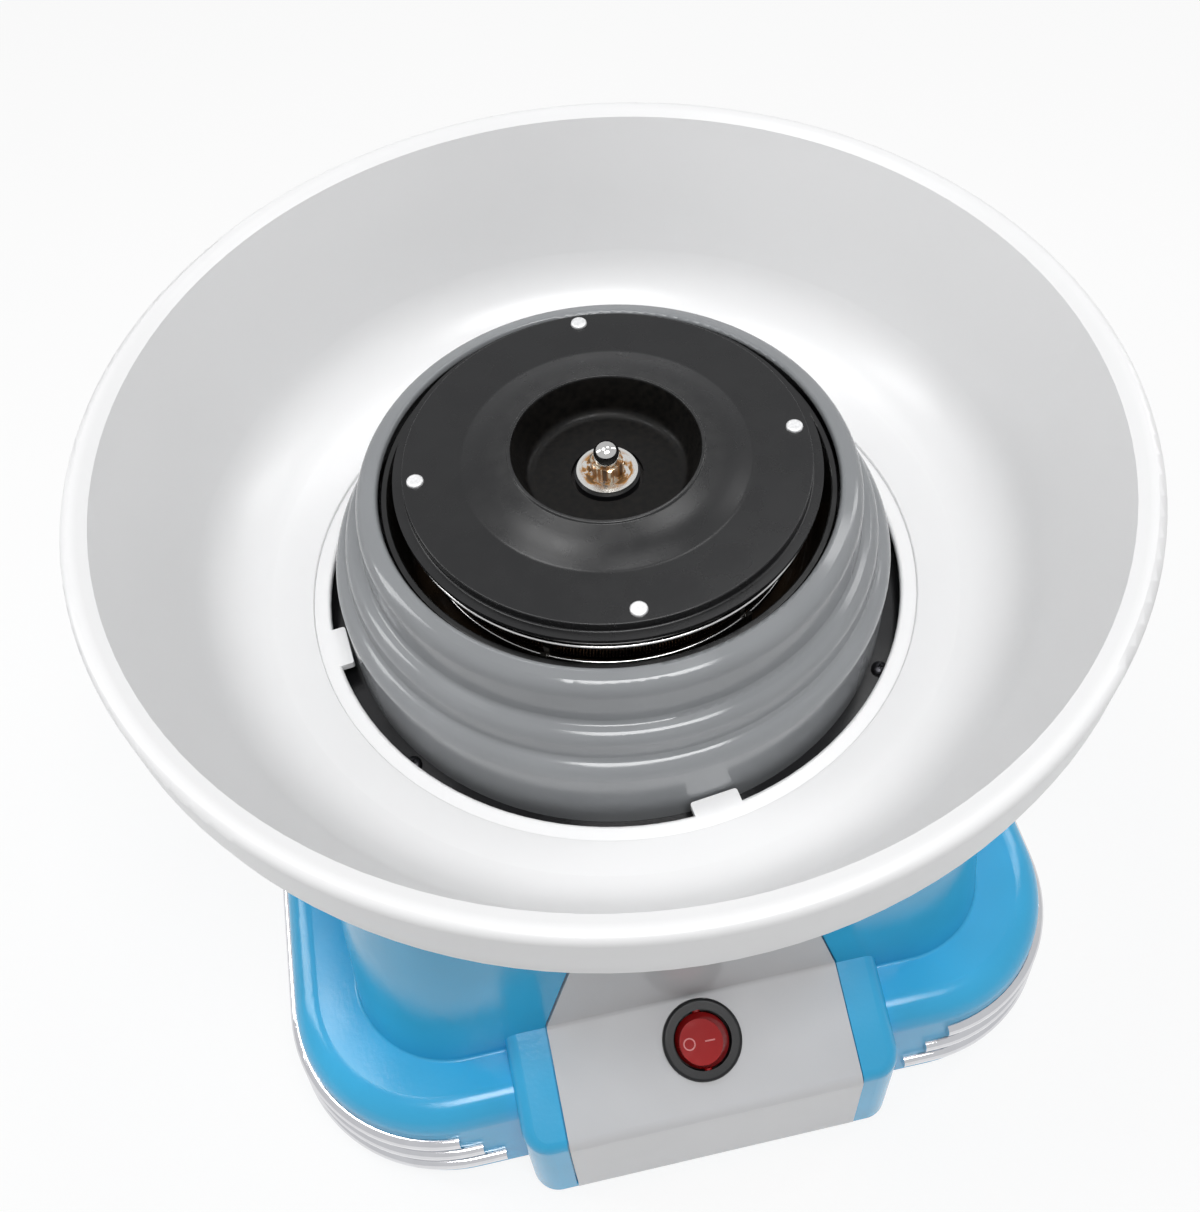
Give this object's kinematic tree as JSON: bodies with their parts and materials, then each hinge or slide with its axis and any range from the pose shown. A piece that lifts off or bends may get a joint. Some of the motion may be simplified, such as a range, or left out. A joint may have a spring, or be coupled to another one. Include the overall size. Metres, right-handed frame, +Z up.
{
  "type": "cotton candy machine",
  "caption": "Tabletop electric cotton candy machine: square base with rocker switch, heated spinning sugar head inside a stepped guard ring, and a lift-off catching bowl.",
  "frame": {"origin": "on the head's spin axis, at the level of the surface that the rubber feet stand on", "axes": "+Z up along the spin axis, -Y towards the user and the switch panel, +X to the user's right"},
  "size_m": [0.265, 0.2654, 0.1996],
  "materials": {
    "blue_plastic": "glossy moulded ABS",
    "panel_plastic": "satin light grey",
    "chrome_trim": "bright plated",
    "black_plastic": "satin black",
    "rubber": "matt black",
    "screw_steel": "zinc plated",
    "red_plastic": "glossy red",
    "brass": "plain",
    "dark_steel": "blackened",
    "ring_plastic": "semi-gloss grey",
    "bowl_plastic": "glossy white",
    "black_enamel": "glossy enamel",
    "coil_wire": "heat-tinted resistance wire",
    "bright_steel": "bright",
    "mica_plate": "dark heat-proof sheet",
    "ceramic": "unglazed",
    "nut_steel": "rust stained",
    "cap_black": "satin black",
    "pan_metal": "pressed sheet",
    "rivet_aluminium": "bright",
    "motor_steel": "plated",
    "bracket_steel": "plated",
    "block_plastic": "off-white"
  },
  "bodies": {
    "base": {"base_housing": "blue_plastic", "control_panel": "panel_plastic", "trim_strip_lower": "chrome_trim", "trim_strip_middle": "chrome_trim", "trim_strip_upper": "chrome_trim", "bottom_plate": "black_plastic", "rubber_feet": "rubber", "base_screws": "screw_steel", "switch_body": "black_plastic", "switch_blades": "brass", "neck_tray": "black_plastic", "tray_screws": "dark_steel", "guard_ring": "ring_plastic", "heater_well": "black_enamel", "heater_coil": "coil_wire", "wire_guard": "bright_steel", "coil_supports": "mica_plate", "heater_terminals": "bright_steel", "terminal_insulators": "ceramic", "thermal_cutout": "bright_steel", "shaft_bush": "brass", "motor_can": "motor_steel", "motor_end_cap": "black_plastic", "motor_bracket": "bracket_steel", "motor_screws": "screw_steel", "bracket_screws": "screw_steel", "cord_gland": "black_plastic", "terminal_block": "block_plastic"},
    "spinner": {"drive_shaft": "bright_steel", "clamp_disc": "black_plastic", "head_washer": "bright_steel", "head_nut": "nut_steel", "shaft_collar": "black_plastic", "head_cover": "cap_black", "sugar_pan": "pan_metal", "head_rivets": "rivet_aluminium"},
    "rocker": {"rocker": "red_plastic"},
    "bowl": {"bowl": "bowl_plastic"}
  },
  "joints": [
    {"name": "spinner_spin", "type": "hinge", "parent": "base", "child": "spinner", "pos_m": [0, 0, 0.158], "axis": [0, 0, 1], "continuous": true},
    {"name": "rocker_tilt", "type": "hinge", "parent": "base", "child": "rocker", "pos_m": [0, -0.10962, 0.04869], "axis": [0, 0.9261, 0.3774], "range_deg": [0, 18]},
    {"name": "bowl_lift", "type": "slide", "parent": "base", "child": "bowl", "axis": [0, 0, 1], "range_m": [0, 0.06]}
  ]
}
